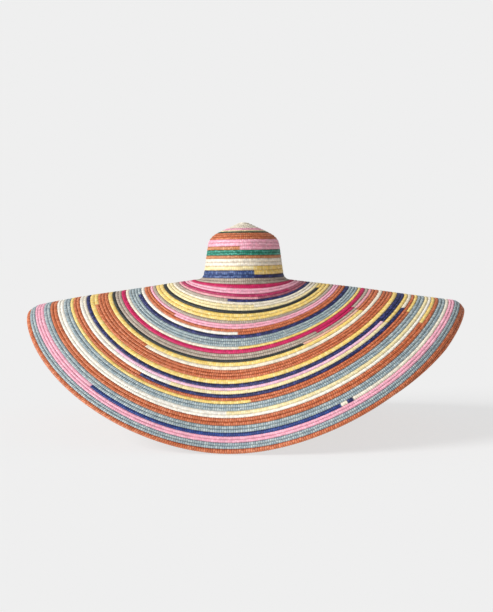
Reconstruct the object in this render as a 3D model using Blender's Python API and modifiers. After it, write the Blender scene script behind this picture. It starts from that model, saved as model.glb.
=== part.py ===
"""A straw hat: a domed crown and a very wide soft brim that hangs at the front and the back.

The hat is one plaited straw braid, wound in a spiral and sewn row on row, so both pieces are
thin walls. -Y is the front of the hat, and +X is the wearer's left, on the right as seen from
the front.
The brim lies nearly level at the two sides and hangs steeply at the front and the back.
"""
from collections import namedtuple
import math

import bmesh
import bpy
from mathutils import Vector

# The crown, in metres
BASE_WIDTH = 0.173
BASE_DEPTH = 0.201
CROWN_HEIGHT = 0.1105
CROWN_WALL = 0.0025
COIL_WIDTH = 0.018

# The brim, in metres, measured along the straw
BRIM_LENGTH = 0.401
BRIM_WALL = 0.0025
TURN_LENGTH = 0.020
SEAM_GAP = 0.0003

# How steeply the straw runs where the crown meets the brim, in degrees below level
SEAM_SLOPE = 80.0

# How far a quarter's straw sweeps from its own direction towards the hat's sides, in degrees
SWEEP_AT_CROWN = 8.0
SWEEP_AT_RIM = 23.5

# Facets
STEPS_ROUND = 64
STEPS_TURN = 4
STEPS_OUT = 13

# The crown's outline: height as a share of CROWN_HEIGHT, and how far out as a share of the base
CrownRing = namedtuple("CrownRing", "height out")
CROWN_RINGS = (
    CrownRing(0.000, 1.000),
    CrownRing(0.148, 0.973),
    CrownRing(0.390, 0.930),
    CrownRing(0.590, 0.891),
    CrownRing(0.662, 0.855),
    CrownRing(0.720, 0.798),
    CrownRing(0.770, 0.722),
    CrownRing(0.808, 0.633),
    CrownRing(0.865, 0.485),
    CrownRing(0.920, 0.325),
)

# The brim's slopes in degrees below level: where its turn ends, a fifth of the way out,
# half-way, near the rim, and at the rim. The back of the hat repeats the front.
BrimSlope = namedtuple("BrimSlope", "place turned inner middle outer rim")
BRIM_SLOPES = (
    BrimSlope("right", 7.0, 6.0, 8.0, 6.5, 60.0),
    BrimSlope("front_right", 39.0, 22.5, 13.0, 37.0, 62.0),
    BrimSlope("front", 51.5, 57.0, 51.5, 64.0, 61.0),
    BrimSlope("front_left", 24.0, 41.0, 21.0, 23.0, 33.5),
    BrimSlope("left", 7.5, 9.0, 8.0, 12.0, 47.0),
)
INNER_SHARE = 0.20
MIDDLE_SHARE = 0.55
OUTER_SHARE = 0.93

STRAW_ROUGHNESS = 0.62
CROWN_STRAW = (0.62, 0.42, 0.30, 1.0)
BRIM_STRAW = (0.55, 0.30, 0.20, 1.0)


def clear_scene():
    for thing in list(bpy.data.objects):
        bpy.data.objects.remove(thing, do_unlink=True)


def straw(name, colour):
    material = bpy.data.materials.new(name)
    material.use_nodes = True
    shader = material.node_tree.nodes["Principled BSDF"]
    shader.inputs["Base Color"].default_value = colour
    shader.inputs["Roughness"].default_value = STRAW_ROUGHNESS
    shader.inputs["Metallic"].default_value = 0.0
    material.diffuse_color = colour
    return material


def angles_round():
    """The angles of the facets' corners, half a step off the axes so that an edge lies there."""
    return [2 * math.pi * (step + 0.5) / STEPS_ROUND for step in range(STEPS_ROUND)]


def smooth_round(values, angle):
    """A smooth value at any angle, from values given at equal steps from +X round to -X."""
    last = len(values) - 1
    total = 0.0
    for wave in range(last + 1):
        part = 0.0
        for place, value in enumerate(values):
            share = 0.5 if place in (0, last) else 1.0
            part += share * value * math.cos(math.pi * wave * place / last)
        share = 0.5 if wave in (0, last) else 1.0
        total += share * part * (2 / last) * math.cos(wave * angle)
    return total


def between(at, stops, values):
    """Straight interpolation of values given at rising stops."""
    for index in range(1, len(stops)):
        if at <= stops[index]:
            share = (at - stops[index - 1]) / (stops[index] - stops[index - 1])
            return values[index - 1] + share * (values[index] - values[index - 1])
    return values[-1]


def brim_slope(angle, distance):
    """The straw's slope below level, in radians, at a distance out along the straw."""
    share = max(0.0, (distance - TURN_LENGTH) / (BRIM_LENGTH - TURN_LENGTH))
    columns = list(zip(*(row[1:] for row in BRIM_SLOPES)))
    slopes = [smooth_round(column, angle) for column in columns]
    slope = between(share, (0.0, INNER_SHARE, MIDDLE_SHARE, OUTER_SHARE, 1.0), slopes)
    if distance < TURN_LENGTH:
        slope = SEAM_SLOPE + (slope - SEAM_SLOPE) * distance / TURN_LENGTH
    return math.radians(slope)


def brim_heading(angle, distance):
    """The direction in plan of the straw's way out: square to the oval, swept to the sides."""
    square = math.atan2(math.sin(angle) / BASE_DEPTH, math.cos(angle) / BASE_WIDTH)
    share = distance / BRIM_LENGTH
    sweep = SWEEP_AT_CROWN + (SWEEP_AT_RIM - SWEEP_AT_CROWN) * share
    return square - math.radians(sweep) * math.sin(2 * angle)


def brim_stops():
    """Distances out along the straw: close steps through the turn, even steps after it."""
    turn = [TURN_LENGTH * step / STEPS_TURN for step in range(STEPS_TURN)]
    run = BRIM_LENGTH - TURN_LENGTH
    return turn + [TURN_LENGTH + run * step / STEPS_OUT for step in range(STEPS_OUT + 1)]


def brim_line(angle, stops, finer=6):
    """The points of one line out from the crown to the rim, summed from short straight bits."""
    point = Vector((math.cos(angle) * BASE_WIDTH / 2, math.sin(angle) * BASE_DEPTH / 2, -SEAM_GAP))
    points = [point.copy()]
    for start, end in zip(stops, stops[1:]):
        bit = (end - start) / finer
        for number in range(finer):
            distance = start + bit * (number + 0.5)
            slope = brim_slope(angle, distance)
            heading = brim_heading(angle, distance)
            level = math.cos(slope)
            way = Vector((level * math.cos(heading), level * math.sin(heading), -math.sin(slope)))
            point = point + way * bit
        points.append(point.copy())
    return points


def crown_rings():
    """The crown's rings of points from the base up to the edge of its flat first coil."""
    coil = CrownRing(1.0, COIL_WIDTH / BASE_WIDTH)
    rings = []
    for ring in CROWN_RINGS + (coil,):
        rings.append([
            Vector((
                math.cos(angle) * ring.out * BASE_WIDTH / 2,
                math.sin(angle) * ring.out * BASE_DEPTH / 2,
                ring.height * CROWN_HEIGHT,
            ))
            for angle in angles_round()
        ])
    return rings


def brim_rings():
    """The brim's rings of points from the seam out to the rim."""
    stops = brim_stops()
    lines = [brim_line(angle, stops) for angle in angles_round()]
    return [list(ring) for ring in zip(*lines)]


def drawn_surface(name, rings, closed_end):
    """An open surface drawn out of a circle ring by ring, with its faces pointing outwards."""
    mesh = bpy.data.meshes.new(name)
    work = bmesh.new()
    made = bmesh.ops.create_circle(work, segments=STEPS_ROUND, radius=1.0)
    verts = sorted(made["verts"], key=lambda vert: math.atan2(vert.co.y, vert.co.x) % (2 * math.pi))
    for vert, place in zip(verts, rings[0]):
        vert.co = place
    edges = list(work.edges)
    for ring in rings[1:]:
        order = {vert: index for index, vert in enumerate(verts)}
        pairs = [(edge.verts[0], edge.verts[1]) for edge in edges]
        grown = bmesh.ops.extrude_edge_only(work, edges=edges)["geom"]
        new_verts = [part for part in grown if isinstance(part, bmesh.types.BMVert)]
        edges = [
            part for part in grown
            if isinstance(part, bmesh.types.BMEdge) and all(vert in new_verts for vert in part.verts)
        ]
        follow = {}
        for vert in new_verts:
            old = [edge.other_vert(vert) for edge in vert.link_edges if edge.other_vert(vert) in order]
            follow[order[old[0]]] = vert
        verts = [follow[index] for index in range(len(pairs))]
        for vert, place in zip(verts, ring):
            vert.co = place
    if closed_end:
        bmesh.ops.edgeloop_fill(work, edges=edges)
    bmesh.ops.recalc_face_normals(work, faces=work.faces)
    tallest = max(work.faces, key=lambda face: face.normal.z * face.calc_center_median().z)
    if tallest.normal.z < 0:
        bmesh.ops.reverse_faces(work, faces=work.faces)
    work.to_mesh(mesh)
    work.free()
    return mesh


def shell(name, rings, closed_end, wall, material, collection, parent):
    mesh = drawn_surface(name, rings, closed_end)
    mesh.materials.append(material)
    mesh.shade_smooth()
    piece = bpy.data.objects.new(name, mesh)
    piece.parent = parent
    collection.objects.link(piece)
    thick = piece.modifiers.new("wall", "SOLIDIFY")
    thick.thickness = wall
    thick.offset = -1.0
    thick.use_even_offset = True
    return piece


def stand_on_the_ground(pieces, holder):
    """Moves the whole hat so that the middle of its box's underside is the origin."""
    graph = bpy.context.evaluated_depsgraph_get()
    corners = []
    for piece in pieces:
        whole = piece.evaluated_get(graph)
        corners += [vert.co.copy() for vert in whole.to_mesh().vertices]
        whole.to_mesh_clear()
    low = [min(corner[axis] for corner in corners) for axis in range(3)]
    high = [max(corner[axis] for corner in corners) for axis in range(3)]
    holder.location = (-(low[0] + high[0]) / 2, -(low[1] + high[1]) / 2, -low[2])


def build_hat():
    clear_scene()
    collection = bpy.data.collections.new("straw_hat")
    bpy.context.scene.collection.children.link(collection)
    holder = bpy.data.objects.new("hat", None)
    collection.objects.link(holder)

    crown_straw = straw("crown_straw", CROWN_STRAW)
    brim_straw = straw("brim_straw", BRIM_STRAW)
    crown = shell("crown", crown_rings(), True, CROWN_WALL, crown_straw, collection, holder)
    brim = shell("brim", brim_rings(), False, BRIM_WALL, brim_straw, collection, holder)
    stand_on_the_ground((crown, brim), holder)


build_hat()
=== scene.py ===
"""Looks of a straw hat sewn from one long plaited braid, around its packed crown and brim.

The braid winds out from the crown's tip in one spiral. A place on the hat is given by a turn
number, which counts the rows from the tip outwards, and an angle round the hat.
"""
from collections import namedtuple
import math

import bmesh
import bpy
import numpy as np
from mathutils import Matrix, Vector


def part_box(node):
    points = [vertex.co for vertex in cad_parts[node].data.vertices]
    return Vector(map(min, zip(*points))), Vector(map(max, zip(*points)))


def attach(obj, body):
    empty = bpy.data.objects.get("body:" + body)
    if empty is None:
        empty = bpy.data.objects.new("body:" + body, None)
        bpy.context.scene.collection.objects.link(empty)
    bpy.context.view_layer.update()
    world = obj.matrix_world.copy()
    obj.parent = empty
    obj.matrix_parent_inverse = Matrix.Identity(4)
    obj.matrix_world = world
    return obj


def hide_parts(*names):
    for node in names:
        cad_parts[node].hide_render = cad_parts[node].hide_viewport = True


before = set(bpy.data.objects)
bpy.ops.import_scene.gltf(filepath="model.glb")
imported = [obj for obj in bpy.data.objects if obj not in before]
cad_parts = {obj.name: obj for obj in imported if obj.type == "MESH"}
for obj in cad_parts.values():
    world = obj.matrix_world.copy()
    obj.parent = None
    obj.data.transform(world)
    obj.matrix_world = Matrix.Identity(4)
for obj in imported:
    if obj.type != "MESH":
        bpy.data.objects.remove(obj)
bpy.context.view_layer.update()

# The form of the hat, as its solids have it, in metres and degrees
BASE_WIDTH = 0.173
BASE_DEPTH = 0.201
CROWN_HEIGHT = 0.1105
COIL_WIDTH = 0.018
BRIM_LENGTH = 0.401
TURN_LENGTH = 0.020
SEAM_GAP = 0.0003
SEAM_SLOPE = 80.0
SWEEP_AT_CROWN = 8.0
SWEEP_AT_RIM = 23.5
INNER_SHARE = 0.20
MIDDLE_SHARE = 0.55
OUTER_SHARE = 0.93

CrownRing = namedtuple("CrownRing", "height out")
CROWN_RINGS = (
    CrownRing(0.000, 1.000),
    CrownRing(0.148, 0.973),
    CrownRing(0.390, 0.930),
    CrownRing(0.590, 0.891),
    CrownRing(0.662, 0.855),
    CrownRing(0.720, 0.798),
    CrownRing(0.770, 0.722),
    CrownRing(0.808, 0.633),
    CrownRing(0.865, 0.485),
    CrownRing(0.920, 0.325),
)

BrimSlope = namedtuple("BrimSlope", "place turned inner middle outer rim")
BRIM_SLOPES = (
    BrimSlope("right", 7.0, 6.0, 8.0, 6.5, 60.0),
    BrimSlope("front_right", 39.0, 22.5, 13.0, 37.0, 62.0),
    BrimSlope("front", 51.5, 57.0, 51.5, 64.0, 61.0),
    BrimSlope("front_left", 24.0, 41.0, 21.0, 23.0, 33.5),
    BrimSlope("left", 7.5, 9.0, 8.0, 12.0, 47.0),
)

# The braid in turns from the crown's tip: where it starts, with its inner edge still past the
# middle, how many turns lie on the crown, how far the crown's piece goes on past them, where the
# braid ends, and the stretch over which its end narrows
FIRST_TURN = -0.9
CROWN_TURNS = 22.24
CROWN_BRAID_OVERLAP = 0.3
LAST_TURN = 77.154
TAPER_TURNS = 0.05
# One plait's length, in metres
PLAIT_LENGTH = 0.0045

# The braid's section: how far across its row, as a share of the row, how high in metres, and
# how far its edge and its face swing from plait to plait, as shares of a row and of SWELL
SectionPoint = namedtuple("SectionPoint", "across height tooth swell")
SECTION = (
    SectionPoint(-0.22, -0.00135, 0.00, 0.0),
    SectionPoint(0.04, -0.00040, 0.00, 0.3),
    SectionPoint(0.34, 0.00018, 0.00, 1.0),
    SectionPoint(0.66, 0.00040, 0.00, 1.0),
    SectionPoint(0.93, 0.00032, 0.03, 0.7),
    SectionPoint(1.03, -0.00025, 0.05, 0.0),
    SectionPoint(0.72, -0.00105, 0.00, 0.5),
    SectionPoint(0.05, -0.00180, 0.00, -0.5),
)
SWELL = 0.00016
# How far the braid's end tucks down under the rim, in metres
END_DROP = 0.0012

# How far the braid wanders along its length: its edge as a share of a row, and its height in
# metres, which wanders at a rate of its own. The waves give the waves in a turn, the angle that
# each starts at in radians and its share of the whole.
EDGE_WANDER = 0.03
HEIGHT_WANDER = 0.00010
HEIGHT_WANDER_RATE = 1.7
Wave = namedtuple("Wave", "rate start share")
WAVES = (
    Wave(3.37, 1.3, 0.5),
    Wave(7.91, 0.4, 0.3),
    Wave(17.3, 0.0, 0.2),
)

# The dyes, in linear light: the colour of most strands, the colour of the odd ones among them,
# the share of odd ones, and how strong the painted shade in that dye's grooves, tucked edges
# and stitches is, from 0 to 1
Dye = namedtuple("Dye", "ground odd share grooves")
DYES = {
    "crimson": Dye((0.62, 0.008, 0.110), (0.72, 0.030, 0.170), 0.20, 0.70),
    "magenta": Dye((0.52, 0.030, 0.130), (0.62, 0.080, 0.200), 0.25, 0.70),
    "dusty": Dye((0.45, 0.110, 0.170), (0.56, 0.220, 0.260), 0.30, 0.70),
    "pink": Dye((0.95, 0.440, 0.560), (0.96, 0.530, 0.630), 0.30, 0.24),
    "mauve": Dye((0.90, 0.520, 0.680), (0.93, 0.620, 0.740), 0.30, 0.24),
    "rose": Dye((0.88, 0.400, 0.450), (0.93, 0.500, 0.520), 0.30, 0.50),
    "peach": Dye((0.88, 0.520, 0.380), (0.92, 0.600, 0.470), 0.30, 0.50),
    "navy": Dye((0.011, 0.018, 0.095), (0.055, 0.065, 0.240), 0.30, 0.80),
    "indigo": Dye((0.014, 0.040, 0.210), (0.030, 0.080, 0.320), 0.30, 0.80),
    "blue": Dye((0.020, 0.054, 0.200), (0.100, 0.170, 0.370), 0.35, 0.80),
    "black": Dye((0.022, 0.028, 0.030), (0.050, 0.058, 0.050), 0.25, 0.80),
    "yellow": Dye((0.94, 0.680, 0.190), (0.96, 0.760, 0.320), 0.35, 0.42),
    "straw": Dye((0.93, 0.780, 0.420), (0.94, 0.830, 0.520), 0.35, 0.36),
    "cream": Dye((0.92, 0.840, 0.700), (0.88, 0.790, 0.620), 0.25, 0.28),
    "white": Dye((0.94, 0.900, 0.810), (0.92, 0.850, 0.720), 0.25, 0.18),
    "rust": Dye((0.62, 0.165, 0.055), (0.74, 0.260, 0.120), 0.40, 0.95),
    "grey": Dye((0.36, 0.450, 0.490), (0.52, 0.590, 0.590), 0.40, 1.00),
    "greige": Dye((0.50, 0.410, 0.330), (0.58, 0.490, 0.410), 0.35, 0.80),
    "teal": Dye((0.008, 0.250, 0.160), (0.090, 0.430, 0.330), 0.30, 0.80),
    "green": Dye((0.040, 0.080, 0.038), (0.085, 0.130, 0.070), 0.30, 0.80),
    "tan": Dye((0.60, 0.240, 0.090), (0.70, 0.340, 0.160), 0.35, 0.85),
}

# The rows of the braid from the crown's tip to the rim: each one's width in millimetres and its
# dyes. A row starts at the hat's right side and goes by the front to the left side, with one
# dye, or several with the angle in degrees at which one gives way to the next. 360 is right,
# 270 the front and 180 left.
Row = namedtuple("Row", "width dyes")
CROWN_ROWS = (
    Row(7.3, "cream"),
    Row(7.3, "cream"),
    Row(7.3, "cream"),
    Row(7.3, "cream"),
    Row(7.3, "cream"),
    Row(6.0, "pink"),
    Row(6.0, "pink"),
    Row(5.0, "straw"),
    Row(7.2, "green"),
    Row(7.4, "rust"),
    Row(7.4, "rust"),
    Row(7.4, "rust"),
    Row(7.9, "pink"),
    Row(7.9, "pink"),
    Row(7.9, "pink 268 tan"),
    Row(5.7, "teal"),
    Row(5.7, "teal"),
    Row(6.7, "tan"),
    Row(8.0, "cream"),
    Row(8.0, "cream"),
    Row(8.8, "yellow 289 straw"),
    Row(9.6, "yellow 289 blue"),
)
BRIM_ROWS = (
    Row(7.1, "navy 289 blue"),
    Row(6.5, "greige"),
    Row(7.8, "greige"),
    Row(10.6, "crimson"),
    Row(6.8, "pink"),
    Row(7.0, "pink"),
    Row(7.7, "dusty 322 magenta"),
    Row(5.7, "dusty 287 rose"),
    Row(6.9, "navy 260 greige"),
    Row(6.6, "cream"),
    Row(7.1, "cream 282 straw"),
    Row(7.0, "straw"),
    Row(7.2, "yellow 341 black"),
    Row(8.4, "yellow"),
    Row(8.1, "yellow"),
    Row(7.4, "greige"),
    Row(5.8, "pink"),
    Row(5.8, "pink 230 rust"),
    Row(6.9, "rust"),
    Row(6.9, "rust 270 white"),
    Row(8.4, "navy 198 grey"),
    Row(6.4, "grey"),
    Row(6.4, "grey"),
    Row(6.4, "grey"),
    Row(6.3, "yellow 271 cream"),
    Row(9.9, "crimson"),
    Row(7.0, "greige 325 crimson 303 greige"),
    Row(7.0, "rose 325 greige"),
    Row(5.9, "rust 324 peach 296 black"),
    Row(9.3, "rust 324 yellow"),
    Row(8.4, "cream 233 rust"),
    Row(7.0, "rust"),
    Row(6.9, "rust"),
    Row(7.6, "rust 200 yellow"),
    Row(9.9, "yellow"),
    Row(8.4, "navy"),
    Row(6.4, "navy 320 mauve 228 cream"),
    Row(8.2, "yellow 320 straw 249 white"),
    Row(7.5, "cream 332 navy 240 rust"),
    Row(6.4, "rust"),
    Row(6.9, "yellow 330 rust 275 yellow"),
    Row(7.3, "grey"),
    Row(7.4, "grey"),
    Row(7.8, "straw 268 white"),
    Row(6.5, "white"),
    Row(7.7, "yellow 326 rust"),
    Row(7.8, "rust"),
    Row(7.0, "grey"),
    Row(7.1, "grey"),
    Row(7.4, "cream 297.6 navy 296.4 cream 295 indigo 234 pink"),
    Row(6.1, "pink"),
    Row(6.1, "pink"),
    Row(6.1, "grey"),
    Row(6.0, "grey"),
    Row(9.3, "rust"),
    Row(7.2, "rust"),
    Row(7.2, "rust"),
)

# Where a row's last dye gives way to the next row's first on the hat's back, in degrees. The
# rows take these in turn.
BACK_CHANGES = (96.0, 61.0, 128.0, 83.0, 112.0, 47.0, 139.0, 74.0, 104.0)

# How the strands lie in the plait, across a row that goes from 0 at its inner edge to 1 at its
# outer one: their lean from the middle to the edges in plaits, how far from the middle that is
# nought, and the groove between two strands as a share of a strand
ROW_MIDDLE = 0.5
HALF_STRAND = 0.5
STRAND_LEAN = 0.22
CREST_ACROSS = 0.16
GROOVE_SHARE = 0.55
# The fibres in a plait and across a row, and how slowly the dye drifts along the braid
FIBRES_PER_PLAIT = 15.0
FIBRES_ACROSS = 2.5
DRIFT_PER_PLAIT = 0.035
DRIFT_LANE = 0.37
NOISE_DETAIL = 2.0
NOISE_GAIN = 4.0
# The line of stitches: where it runs across the row, half its width, how much of that is full
# depth, where in a strand a stitch begins, and how dark the painted shade in its dents is beside
# that in a groove
STITCH_ACROSS = 0.84
STITCH_HALF_WIDTH = 0.035
STITCH_CORE = 0.6
STITCH_ENDS = (0.28, 0.36)
STITCH_SHADE = 0.5
# Where across the row the painted shade of the tuck under the neighbour fades out, where the
# painted highlight along the outer edge fades in, and how strong that highlight is
TUCK_SHADE_FADE = (0.02, 0.28)
EDGE_HIGHLIGHT_FADE = (0.70, 0.92)
EDGE_HIGHLIGHT_SHARE = 0.45

# The dye's unevenness: each strand's tone against the dye's, from lowest up by a range, and what
# the fibres and the drift add
LOWEST_STRAND_TONE = -0.16
STRAND_TONE_RANGE = 0.30
FIBRE_TONE = 0.05
DRIFT_TONE = 0.05
# The painted shade in the grooves, tucked edges and stitches: how much stronger in hue and how
# much darker it makes the straw
PAINTED_SHADE_POWER = 2.3
PAINTED_SHADE_SHARE = 0.72

# The relief in parts of a strand's height, and that height's depth in metres
ROW_BULGE = 2.0
FIBRE_HEIGHT = 0.06
STITCH_HEIGHT = -0.6
STRAW_BUMP = 0.0005
BUMP_STRENGTH = 0.7
# The straw's satin: its roughness, and what the fibres and the shaded grooves add to it
STRAW_ROUGHNESS = 0.40
FIBRE_ROUGHNESS = 0.03
GROOVE_ROUGHNESS = 0.25
STRAW_SPECULAR = 0.5

# The painted shade on the crown and on the brim: how dark it makes the grooves between strands
# and between rows
ShadeStrength = namedtuple("ShadeStrength", "groove_shade row_shade")
CROWN_SHADE_STRENGTH = ShadeStrength(0.85, 0.95)
BRIM_SHADE_STRENGTH = ShadeStrength(0.95, 1.00)

# How fine the work is: the net of points round the hat, in turns out from the tip and in metres
# along the brim, how far the net goes on past the rim, the steps in which the braid's length is
# summed, in turns, and the steps between two points of the crown's outline
ANGLE_STEPS = 720
TURN_STEP = 0.05
BRIM_STEP = 0.0005
TURNS_PAST_RIM = 1.5
LENGTH_STEP = 0.002
OUTLINE_STEPS = 24
# How many cells short of the net's end a place is kept, the distance in metres within which two
# points are one, and the length under which a normal counts as none
LAST_CELL = 1.001
MERGE_DISTANCE = 1e-7
SHORTEST_NORMAL = 1e-12

# The camera, which stands in front of the hat and looks slightly down
IMAGE_WIDTH = 493
IMAGE_HEIGHT = 612
SENSOR = 36.0
FOCAL_PIXELS = 1004.6
CAMERA_DISTANCE = 2.200
CAMERA_AZIMUTH = 4.0
CAMERA_ABOVE_SEAM = 0.055
CAMERA_TILT = 3.28
AXIS_PIXEL = 243.75

# The studio: a floor that shows as pale as the backdrop, a wide lamp and light from all round
BACKDROP = 0.863
FLOOR_HALF_SIZE = 30.0
FLOOR_TONE = 0.25
ROUND_LIGHT = 0.33
LAMP_STRENGTH = 3.3
LAMP_HEIGHT_ANGLE = 29.0
LAMP_SIDE_ANGLE = 60.0
LAMP_WIDTH_ANGLE = 30.0
FLOOR_ROUGHNESS = 0.9
WHITE = (1.0, 1.0, 1.0, 1.0)

SEAM_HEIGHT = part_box("brim")[1].z + SEAM_GAP
AXIS_X = (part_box("crown")[0].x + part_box("crown")[1].x) / 2


def smooth_round(values, angles):
    """A smooth value at any angle, from values given at equal steps from +X round to -X."""
    last = len(values) - 1
    ends = np.ones(last + 1)
    ends[[0, last]] = 0.5
    places = np.arange(last + 1)
    total = np.zeros_like(angles)
    for wave in places:
        part = np.sum(ends * values * np.cos(np.pi * wave * places / last))
        total += ends[wave] * part * (2 / last) * np.cos(wave * angles)
    return total


def crown_share(turns):
    """The share of the way from the crown's tip to its seam, at turns from the tip."""
    edges = np.cumsum([row.width for row in CROWN_ROWS])
    last_turns = CROWN_TURNS - len(edges) + 1 + np.arange(len(edges))
    at = np.interp(turns, np.append(0.0, last_turns), np.append(0.0, edges))
    return at / edges[-1]


def brim_distance(turns):
    """The distance out along the straw from the seam, in metres, at turns from the seam."""
    edges = np.append(0.0, np.cumsum([row.width / 1000 for row in BRIM_ROWS]))
    return np.interp(turns, np.arange(len(edges)), edges)


def brim_lines(angles, distances):
    """Points of the brim's outer face, for each angle and each rising distance from the seam."""
    share = np.clip((distances - TURN_LENGTH) / (BRIM_LENGTH - TURN_LENGTH), 0.0, 1.0)
    columns = zip(*(row[1:] for row in BRIM_SLOPES))
    columns = [smooth_round(np.array(column), angles) for column in columns]
    stops = (0.0, INNER_SHARE, MIDDLE_SHARE, OUTER_SHARE, 1.0)
    slopes = np.array([np.interp(share, stops, ends) for ends in zip(*columns)])
    turning = np.clip(distances / TURN_LENGTH, 0.0, 1.0)
    slopes = np.radians(SEAM_SLOPE + (slopes - SEAM_SLOPE) * turning)
    square = np.arctan2(np.sin(angles) / BASE_DEPTH, np.cos(angles) / BASE_WIDTH)
    sweep = SWEEP_AT_CROWN + (SWEEP_AT_RIM - SWEEP_AT_CROWN) * distances / BRIM_LENGTH
    heading = square[:, None] - np.radians(sweep)[None, :] * np.sin(2 * angles)[:, None]
    level = np.cos(slopes)
    ways = np.stack((level * np.cos(heading), level * np.sin(heading), -np.sin(slopes)), axis=-1)
    steps = (ways[:, 1:] + ways[:, :-1]) / 2 * np.diff(distances)[None, :, None]
    start = np.stack(
        (np.cos(angles) * BASE_WIDTH / 2, np.sin(angles) * BASE_DEPTH / 2, np.zeros_like(angles)),
        axis=-1,
    )
    out = np.cumsum(steps, axis=1)
    return start[:, None, :] + np.concatenate((np.zeros_like(start)[:, None, :], out), axis=1)


def smooth_outline(points):
    """A smooth curve through an outline's points, evenly spaced along its length."""
    line = [points[0]]
    padded = [2 * points[0] - points[1]] + list(points) + [2 * points[-1] - points[-2]]
    for one, two, three, four in zip(padded, padded[1:], padded[2:], padded[3:]):
        for number in range(1, OUTLINE_STEPS + 1):
            t = number / OUTLINE_STEPS
            bend = (2 * one - 5 * two + 4 * three - four) * t * t
            twist = (3 * two - one - 3 * three + four) * t * t * t
            line.append(0.5 * (2 * two + (three - one) * t + bend + twist))
    line = np.array(line)
    lengths = np.concatenate(([0.0], np.cumsum(np.linalg.norm(np.diff(line, axis=0), axis=1))))
    return line, lengths / lengths[-1]


def crown_lines(angles, shares):
    """Points of the crown's outer face, for each angle and share of the way from tip to seam."""
    rings = [(ring.out * BASE_WIDTH / 2, ring.height * CROWN_HEIGHT) for ring in CROWN_RINGS]
    tip = [(COIL_WIDTH / 2, CROWN_HEIGHT), (0.0, CROWN_HEIGHT)]
    outline = [np.array(point) for point in rings + tip]
    line, places = smooth_outline(outline[::-1])
    out = np.interp(shares, places, line[:, 0])
    height = np.interp(shares, places, line[:, 1])
    stretch = BASE_DEPTH / BASE_WIDTH
    return np.stack((
        np.cos(angles)[:, None] * out[None, :],
        np.sin(angles)[:, None] * out[None, :] * stretch,
        np.broadcast_to(height, (len(angles), len(shares))),
    ), axis=-1)


class HatSurface:
    """The hat's outer face as a fine net of points over angle and turn, with its normals."""

    def __init__(self):
        self.turns = np.arange(0.0, LAST_TURN + TURNS_PAST_RIM, TURN_STEP)
        self.angles = np.linspace(0.0, 2 * np.pi, ANGLE_STEPS + 1)
        on_crown = self.turns <= CROWN_TURNS
        crown = crown_lines(self.angles, crown_share(self.turns[on_crown]))
        wanted = brim_distance(self.turns[~on_crown] - CROWN_TURNS)
        distances = np.arange(0.0, wanted[-1] + BRIM_STEP, BRIM_STEP)
        lines = brim_lines(self.angles, distances)
        at = np.clip(wanted / BRIM_STEP, 0, len(distances) - LAST_CELL)
        low = at.astype(int)
        mix = (at - low)[None, :, None]
        brim = lines[:, low] * (1 - mix) + lines[:, low + 1] * mix
        self.points = np.concatenate((crown, brim), axis=1)
        self.points += np.array((AXIS_X, 0.0, SEAM_HEIGHT))
        along = np.gradient(self.points, axis=0)
        along[0] = along[-1] = (self.points[1] - self.points[-2]) / 2
        outward = np.gradient(self.points, axis=1)
        normals = np.cross(outward, along)
        lengths = np.linalg.norm(normals, axis=-1, keepdims=True)
        up = np.array((0.0, 0.0, 1.0))
        unit = normals / np.maximum(lengths, SHORTEST_NORMAL)
        self.normals = np.where(lengths > SHORTEST_NORMAL, unit, up)

    def at(self, angles, turns):
        """Points and normals at any angles and turns."""
        across = np.clip(turns, 0.0, self.turns[-1] - TURN_STEP * LAST_CELL) / TURN_STEP
        around = (angles % (2 * np.pi)) / (2 * np.pi) * ANGLE_STEPS
        col, row = across.astype(int), np.minimum(around.astype(int), ANGLE_STEPS - 1)
        right, down = (across - col)[:, None], (around - row)[:, None]

        def blend(net):
            near = net[row, col] * (1 - right) + net[row, col + 1] * right
            far = net[row + 1, col] * (1 - right) + net[row + 1, col + 1] * right
            return near * (1 - down) + far * down

        normals = blend(self.normals)
        return blend(self.points), normals / np.linalg.norm(normals, axis=1, keepdims=True)


def angle_of(turns):
    """The angle round the hat at which the braid's turn number has that value."""
    return 2 * np.pi * (1.0 - turns % 1.0)


def braid_stops(surface):
    """The turn numbers at equal half plaits along the braid, from its start to its end."""
    turns = np.arange(FIRST_TURN, LAST_TURN, LENGTH_STEP)
    points, _ = surface.at(angle_of(turns), turns + ROW_MIDDLE)
    lengths = np.concatenate(([0.0], np.cumsum(np.linalg.norm(np.diff(points, axis=0), axis=1))))
    count = int(lengths[-1] / (PLAIT_LENGTH / 2))
    return np.interp(np.linspace(0.0, lengths[-1], count + 1), lengths, turns)


def wobble(turns):
    """A slow unevenness along the braid, from -1 to 1, as a hand-sewn row has."""
    return sum(np.sin(turns * 2 * np.pi * wave.rate + wave.start) * wave.share for wave in WAVES)


def dye_of(turn):
    """The dye at a turn number, read from the two charts."""
    rows = CROWN_ROWS + BRIM_ROWS
    number = max(int(math.floor(turn)), 0)
    angle = 360.0 * (1.0 - turn % 1.0)
    if angle < BACK_CHANGES[number % len(BACK_CHANGES)]:
        return DYES[rows[number + 1].dyes.split()[0]]
    words = rows[number].dyes.split()
    name = words[0]
    for change, next_name in zip(words[1::2], words[2::2]):
        if angle < float(change):
            name = next_name
    return DYES[name]


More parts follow.
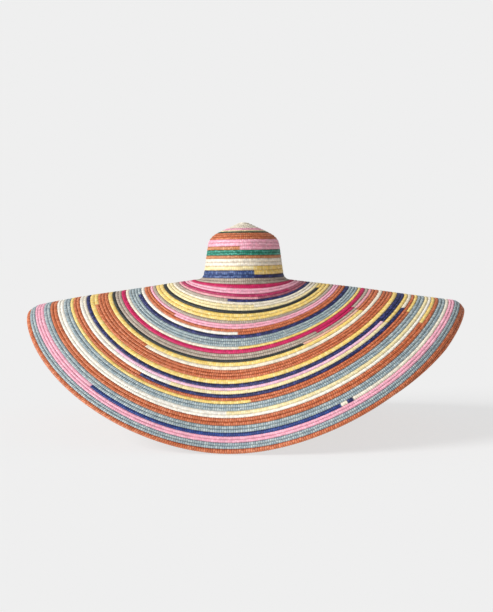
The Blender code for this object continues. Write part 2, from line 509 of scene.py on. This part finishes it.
def braid_piece(name, surface, stops, first, last):
    """A stretch of the braid, from one stop to another, as one closed tube of its section."""
    count = last - first
    mesh = bpy.data.meshes.new(name)
    work = bmesh.new()
    bmesh.ops.create_grid(work, x_segments=count, y_segments=len(SECTION), size=1.0)
    place = np.array([vert.co[:2] for vert in work.verts])
    step = np.rint((place[:, 0] + 1) / 2 * count).astype(int)
    spot = np.rint((place[:, 1] + 1) / 2 * len(SECTION)).astype(int)
    number = step + first
    turns = stops[number]

    section = np.array(SECTION)[spot % len(SECTION)]
    beat = np.where(number % 2 == 0, 1.0, -1.0)
    across = section[:, 0] + section[:, 2] * beat + EDGE_WANDER * wobble(turns)
    height = section[:, 1] + SWELL * section[:, 3] * beat
    height = height + HEIGHT_WANDER * wobble(turns * HEIGHT_WANDER_RATE)
    closing = np.clip((LAST_TURN - turns) / TAPER_TURNS, 0.0, 1.0)
    across = np.where(across > 0, across * closing, across)
    height = height - END_DROP * (1 - closing)
    points, normals = surface.at(angle_of(turns), np.maximum(turns + across, 0.0))
    for vert, spot_at in zip(work.verts, points + normals * height[:, None]):
        vert.co = spot_at

    # the dyes, and the plait's own coordinates: plaits along and how far across the row
    dyes = [dye_of(turn) for turn in stops[first:last + 1]]
    ground = work.verts.layers.float_color.new("ground")
    odd = work.verts.layers.float_color.new("odd")
    # the ground colour's alpha holds how strong the dye's painted shade is
    for vert, at in zip(work.verts, step.tolist()):
        vert[ground] = dyes[at].ground + (dyes[at].grooves,)
        vert[odd] = dyes[at].odd + (dyes[at].share,)
    plait = work.loops.layers.uv.new("plait")
    work.verts.index_update()
    along = (number / 2).tolist()
    edges = [point.across for point in SECTION] + [SECTION[0].across]
    edge_at = [edges[each] for each in spot.tolist()]
    for face in work.faces:
        face.smooth = True
        for loop in face.loops:
            loop[plait].uv = (along[loop.vert.index], edge_at[loop.vert.index])

    # the grid's long edges meet in a tube, and its two ends are closed
    bmesh.ops.remove_doubles(work, verts=work.verts, dist=MERGE_DISTANCE)
    rims = [edge for edge in work.edges if edge.is_boundary]
    bmesh.ops.holes_fill(work, edges=rims, sides=0)
    bmesh.ops.recalc_face_normals(work, faces=work.faces)
    work.to_mesh(mesh)
    work.free()
    piece = bpy.data.objects.new(name, mesh)
    bpy.context.scene.collection.objects.link(piece)
    return piece


def finish_piece(piece, node, material):
    """Gives a stretch of the braid its straw, and puts it in place of a solid."""
    piece.data.materials.append(material)
    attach(piece, "root")
    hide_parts(node)


def hat_pieces():
    """The braid on the crown, and the braid on the brim in four stretches."""
    surface = HatSurface()
    stops = braid_stops(surface)
    group = plait_group()
    # the crown's and the brim's straw, each with its own strength of painted shade
    crown_straw = straw_material("crown_straw_painted_light", group, CROWN_SHADE_STRENGTH)
    brim_straw = straw_material("brim_straw_painted_light", group, BRIM_SHADE_STRENGTH)
    crown_end = int(np.searchsorted(stops, CROWN_TURNS + CROWN_BRAID_OVERLAP))
    crown = braid_piece("crown_braid", surface, stops, 0, crown_end)
    finish_piece(crown, "crown", crown_straw)
    names = ("brim_braid_inner", "brim_braid_second", "brim_braid_third", "brim_braid_outer")
    cuts = np.linspace(crown_end, len(stops) - 1, len(names) + 1).astype(int).tolist()
    for name, start, end in zip(names, cuts, cuts[1:]):
        piece = braid_piece(name, surface, stops, start, end)
        finish_piece(piece, "brim", brim_straw)


def maths(tree, operation, *values):
    """A Math node on numbers and sockets, and its result."""
    node = tree.nodes.new("ShaderNodeMath")
    node.operation = operation
    for socket, value in zip(node.inputs, values):
        feed(tree, socket, value)
    return node.outputs["Value"]


def feed(tree, socket, value):
    """Joins a socket to another one, or sets it to a number or a colour."""
    if isinstance(value, bpy.types.NodeSocket):
        tree.links.new(value, socket)
    else:
        socket.default_value = value


def fade(tree, value, start, end, low=0.0, high=1.0):
    """A smooth change from low to high as the value goes from start to end."""
    node = tree.nodes.new("ShaderNodeMapRange")
    node.interpolation_type = "SMOOTHSTEP"
    for name, amount in (("From Min", start), ("From Max", end), ("To Min", low), ("To Max", high)):
        node.inputs[name].default_value = amount
    tree.links.new(value, node.inputs["Value"])
    return node.outputs["Result"]


def mixed(tree, share, one, two):
    """Two colours mixed by a share."""
    node = tree.nodes.new("ShaderNodeMix")
    node.data_type = "RGBA"
    feed(tree, node.inputs[0], share)
    feed(tree, node.inputs[6], one)
    feed(tree, node.inputs[7], two)
    return node.outputs[2]


def painted_shade_colour(tree, colour, power):
    """A colour with painted shade, as the straw deep between strands: darker, and stronger in hue.
    """
    node = tree.nodes.new("ShaderNodeGamma")
    feed(tree, node.inputs["Color"], colour)
    node.inputs["Gamma"].default_value = power
    return node.outputs["Color"]


def scaled(tree, colour, amount):
    """A colour made lighter or darker by an amount that varies."""
    node = tree.nodes.new("ShaderNodeVectorMath")
    node.operation = "SCALE"
    feed(tree, node.inputs["Vector"], colour)
    feed(tree, node.inputs["Scale"], amount)
    return node.outputs["Vector"]


def noise_at(tree, along, across):
    """Soft noise from -1 to 1 or so, at a place given by two numbers."""
    place = tree.nodes.new("ShaderNodeCombineXYZ")
    feed(tree, place.inputs["X"], along)
    feed(tree, place.inputs["Y"], across)
    node = tree.nodes.new("ShaderNodeTexNoise")
    node.noise_dimensions = "2D"
    node.inputs["Scale"].default_value = 1.0
    node.inputs["Detail"].default_value = NOISE_DETAIL
    tree.links.new(place.outputs["Vector"], node.inputs["Vector"])
    return maths(tree, "MULTIPLY_ADD", node.outputs["Fac"], NOISE_GAIN, -NOISE_GAIN / 2)


def plait_group():
    """The plait's strands, grooves, stitches, uneven dye, painted shade and highlight, from its own
    coordinates.
    """
    tree = bpy.data.node_groups.new("plaited_straw", "ShaderNodeTree")
    for name in ("Ground", "Odd Strands"):
        tree.interface.new_socket(name, in_out="INPUT", socket_type="NodeSocketColor")
    for name in ("Odd Share", "Painted Shade Strength", "Groove Shade", "Row Shade"):
        tree.interface.new_socket(name, in_out="INPUT", socket_type="NodeSocketFloat")
    tree.interface.new_socket("Color", in_out="OUTPUT", socket_type="NodeSocketColor")
    tree.interface.new_socket("Roughness", in_out="OUTPUT", socket_type="NodeSocketFloat")
    tree.interface.new_socket("Height", in_out="OUTPUT", socket_type="NodeSocketFloat")
    given = tree.nodes.new("NodeGroupInput").outputs
    result = tree.nodes.new("NodeGroupOutput").inputs

    plait = tree.nodes.new("ShaderNodeUVMap")
    plait.uv_map = "plait"
    split = tree.nodes.new("ShaderNodeSeparateXYZ")
    tree.links.new(plait.outputs["UV"], split.inputs["Vector"])
    along, across = split.outputs["X"], split.outputs["Y"]

    # strands lean back from the middle of the row to both its edges
    inner_half = maths(tree, "LESS_THAN", across, ROW_MIDDLE)
    off_middle = maths(tree, "SUBTRACT", across, ROW_MIDDLE)
    past_crest = maths(tree, "SUBTRACT", maths(tree, "ABSOLUTE", off_middle), CREST_ACROSS)
    strand = maths(tree, "ADD", along, maths(tree, "MULTIPLY", past_crest, STRAND_LEAN))
    number = maths(tree, "FLOOR", maths(tree, "ADD", strand, HALF_STRAND))
    in_strand = maths(tree, "SUBTRACT", maths(tree, "FRACT", strand), HALF_STRAND)
    beside = maths(tree, "ABSOLUTE", in_strand)
    groove = fade(tree, beside, 0.0, GROOVE_SHARE / 2, 1.0, 0.0)
    crest = fade(tree, beside, 0.0, HALF_STRAND)

    # each strand has a tone of its own, and some strands are the odd colour
    key = tree.nodes.new("ShaderNodeCombineXYZ")
    tree.links.new(number, key.inputs["X"])
    tree.links.new(inner_half, key.inputs["Y"])
    chance = tree.nodes.new("ShaderNodeTexWhiteNoise")
    chance.noise_dimensions = "2D"
    tree.links.new(key.outputs["Vector"], chance.inputs["Vector"])
    chances = tree.nodes.new("ShaderNodeSeparateColor")
    tree.links.new(chance.outputs["Color"], chances.inputs["Color"])
    is_odd = maths(tree, "LESS_THAN", chances.outputs["Red"], given["Odd Share"])
    strand_tone = maths(
        tree, "MULTIPLY_ADD", chances.outputs["Green"], STRAND_TONE_RANGE, LOWEST_STRAND_TONE
    )

    # fibres run along each strand, and the dye took unevenly along the braid
    fibre_along = maths(tree, "MULTIPLY", strand, FIBRES_PER_PLAIT)
    fibre_across = maths(tree, "MULTIPLY", across, FIBRES_ACROSS)
    fibres = noise_at(tree, fibre_along, fibre_across)
    drift = noise_at(tree, maths(tree, "MULTIPLY", along, DRIFT_PER_PLAIT), DRIFT_LANE)
    uneven = maths(tree, "MULTIPLY_ADD", fibres, FIBRE_TONE, strand_tone)
    uneven = maths(tree, "MULTIPLY_ADD", drift, DRIFT_TONE, uneven)
    tone = maths(tree, "ADD", uneven, 1.0)

    # the row tucks under its neighbour at the inner edge, where shade is painted, and a painted
    # highlight in the odd colour lies along its outer edge
    tuck_shade = fade(tree, across, *TUCK_SHADE_FADE, 1.0, 0.0)
    edge_highlight = maths(tree, "MULTIPLY", fade(tree, across, *EDGE_HIGHLIGHT_FADE), EDGE_HIGHLIGHT_SHARE)
    # the stitches, dented in the relief and darkened with painted shade
    off_line = maths(tree, "ABSOLUTE", maths(tree, "SUBTRACT", across, STITCH_ACROSS))
    on_line = fade(
        tree, off_line, STITCH_HALF_WIDTH * STITCH_CORE, STITCH_HALF_WIDTH, 1.0, 0.0
    )
    stitch = maths(tree, "MULTIPLY", on_line, fade(tree, beside, *STITCH_ENDS))

    straw = mixed(tree, is_odd, given["Ground"], given["Odd Strands"])
    # painted shade: towards a darker colour in the grooves, under the tucked edge and in the
    # stitches
    dark = scaled(tree, painted_shade_colour(tree, straw, PAINTED_SHADE_POWER), PAINTED_SHADE_SHARE)
    strand_painted_shade = maths(tree, "MULTIPLY", groove, given["Groove Shade"])
    row_painted_shade = maths(tree, "MULTIPLY", tuck_shade, given["Row Shade"])
    shade = maths(tree, "MAXIMUM", strand_painted_shade, row_painted_shade)
    shade = maths(tree, "MAXIMUM", shade, maths(tree, "MULTIPLY", stitch, STITCH_SHADE))
    # scaled by the dye's strength of painted shade
    shade = maths(tree, "MULTIPLY", shade, given["Painted Shade Strength"])
    colour = mixed(tree, shade, straw, dark)
    # painted highlight along the row's outer edge, in the odd colour
    colour = mixed(tree, edge_highlight, colour, given["Odd Strands"])
    tree.links.new(scaled(tree, colour, tone), result["Color"])

    to_edge = maths(tree, "MULTIPLY", off_middle, 2.0)
    bulge = maths(tree, "SUBTRACT", 1.0, maths(tree, "MULTIPLY", to_edge, to_edge))
    height = maths(tree, "MULTIPLY_ADD", fibres, FIBRE_HEIGHT, crest)
    height = maths(tree, "MULTIPLY_ADD", bulge, ROW_BULGE, height)
    height = maths(tree, "MULTIPLY_ADD", stitch, STITCH_HEIGHT, height)
    tree.links.new(height, result["Height"])
    roughness = maths(tree, "MULTIPLY_ADD", fibres, FIBRE_ROUGHNESS, STRAW_ROUGHNESS)
    roughness = maths(tree, "MULTIPLY_ADD", shade, GROOVE_ROUGHNESS, roughness)
    tree.links.new(roughness, result["Roughness"])
    return tree


def straw_material(name, group, shade_strength):
    """Dyed straw: the plait's colours with painted shade and a painted highlight, and relief on a
    satin surface.
    """
    material = bpy.data.materials.new(name)
    material.use_nodes = True
    tree = material.node_tree
    shader = tree.nodes["Principled BSDF"]
    ground = tree.nodes.new("ShaderNodeAttribute")
    ground.attribute_name = "ground"
    odd = tree.nodes.new("ShaderNodeAttribute")
    odd.attribute_name = "odd"
    plait = tree.nodes.new("ShaderNodeGroup")
    plait.node_tree = group
    tree.links.new(ground.outputs["Color"], plait.inputs["Ground"])
    tree.links.new(odd.outputs["Color"], plait.inputs["Odd Strands"])
    tree.links.new(odd.outputs["Alpha"], plait.inputs["Odd Share"])
    # the dye's strength of painted shade
    tree.links.new(ground.outputs["Alpha"], plait.inputs["Painted Shade Strength"])
    # how dark the painted shade in the grooves and under the rows' edges is
    plait.inputs["Groove Shade"].default_value = shade_strength.groove_shade
    plait.inputs["Row Shade"].default_value = shade_strength.row_shade
    relief = tree.nodes.new("ShaderNodeBump")
    relief.inputs["Strength"].default_value = BUMP_STRENGTH
    relief.inputs["Distance"].default_value = STRAW_BUMP
    tree.links.new(plait.outputs["Height"], relief.inputs["Height"])
    tree.links.new(plait.outputs["Color"], shader.inputs["Base Color"])
    tree.links.new(plait.outputs["Roughness"], shader.inputs["Roughness"])
    tree.links.new(relief.outputs["Normal"], shader.inputs["Normal"])
    shader.inputs["Specular IOR Level"].default_value = STRAW_SPECULAR
    return material


def camera():
    """The camera, turned aside so that the hat's axis stands where the photo has it."""
    seen = bpy.data.cameras.new("camera")
    seen.sensor_width = SENSOR
    seen.lens = FOCAL_PIXELS / IMAGE_HEIGHT * SENSOR
    holder = bpy.data.objects.new("camera", seen)
    bpy.context.scene.collection.objects.link(holder)
    azimuth = math.radians(CAMERA_AZIMUTH)
    holder.location = (
        AXIS_X + CAMERA_DISTANCE * math.sin(azimuth),
        -CAMERA_DISTANCE * math.cos(azimuth),
        SEAM_HEIGHT + CAMERA_ABOVE_SEAM,
    )
    aside = math.atan((IMAGE_WIDTH / 2 - AXIS_PIXEL) / FOCAL_PIXELS)
    holder.rotation_euler = (math.radians(90 - CAMERA_TILT), 0.0, azimuth - aside)
    bpy.context.scene.camera = holder


def lamp():
    """One wide lamp far off to the left as the camera sees it, and a little to the front."""
    light = bpy.data.lights.new("lamp", "SUN")
    light.energy = LAMP_STRENGTH
    light.angle = math.radians(LAMP_WIDTH_ANGLE)
    holder = bpy.data.objects.new("lamp", light)
    raised = math.radians(90 - LAMP_HEIGHT_ANGLE)
    holder.rotation_euler = (raised, 0.0, -math.radians(LAMP_SIDE_ANGLE))
    bpy.context.scene.collection.objects.link(holder)


def backdrop():
    """Even light from all round, which the camera sees as a pale backdrop."""
    world = bpy.data.worlds.new("studio")
    bpy.context.scene.world = world
    world.use_nodes = True
    tree = world.node_tree
    light = tree.nodes["Background"]
    light.inputs["Color"].default_value = WHITE
    light.inputs["Strength"].default_value = ROUND_LIGHT
    seen = tree.nodes.new("ShaderNodeBackground")
    seen.inputs["Color"].default_value = WHITE
    seen.inputs["Strength"].default_value = BACKDROP
    ray = tree.nodes.new("ShaderNodeLightPath")
    both = tree.nodes.new("ShaderNodeMixShader")
    tree.links.new(ray.outputs["Is Camera Ray"], both.inputs["Fac"])
    tree.links.new(light.outputs["Background"], both.inputs[1])
    tree.links.new(seen.outputs["Background"], both.inputs[2])
    tree.links.new(both.outputs["Shader"], tree.nodes["World Output"].inputs["Surface"])


def floor():
    """A pale floor whose own glow makes up what the lights leave it short of the backdrop."""
    mesh = bpy.data.meshes.new("floor")
    work = bmesh.new()
    bmesh.ops.create_grid(work, x_segments=1, y_segments=1, size=FLOOR_HALF_SIZE)
    work.to_mesh(mesh)
    work.free()
    ground = bpy.data.objects.new("floor", mesh)
    bpy.context.scene.collection.objects.link(ground)
    material = bpy.data.materials.new("pale_floor")
    material.use_nodes = True
    shader = material.node_tree.nodes["Principled BSDF"]
    shader.inputs["Base Color"].default_value = (FLOOR_TONE, FLOOR_TONE, FLOOR_TONE, 1.0)
    shader.inputs["Roughness"].default_value = FLOOR_ROUGHNESS
    shader.inputs["Specular IOR Level"].default_value = 0.0
    lit = LAMP_STRENGTH * math.sin(math.radians(LAMP_HEIGHT_ANGLE)) / math.pi + ROUND_LIGHT
    shader.inputs["Emission Color"].default_value = WHITE
    shader.inputs["Emission Strength"].default_value = BACKDROP - FLOOR_TONE * lit
    mesh.materials.append(material)


camera()
lamp()
backdrop()
floor()
bpy.context.scene.view_settings.view_transform = "Standard"
hat_pieces()
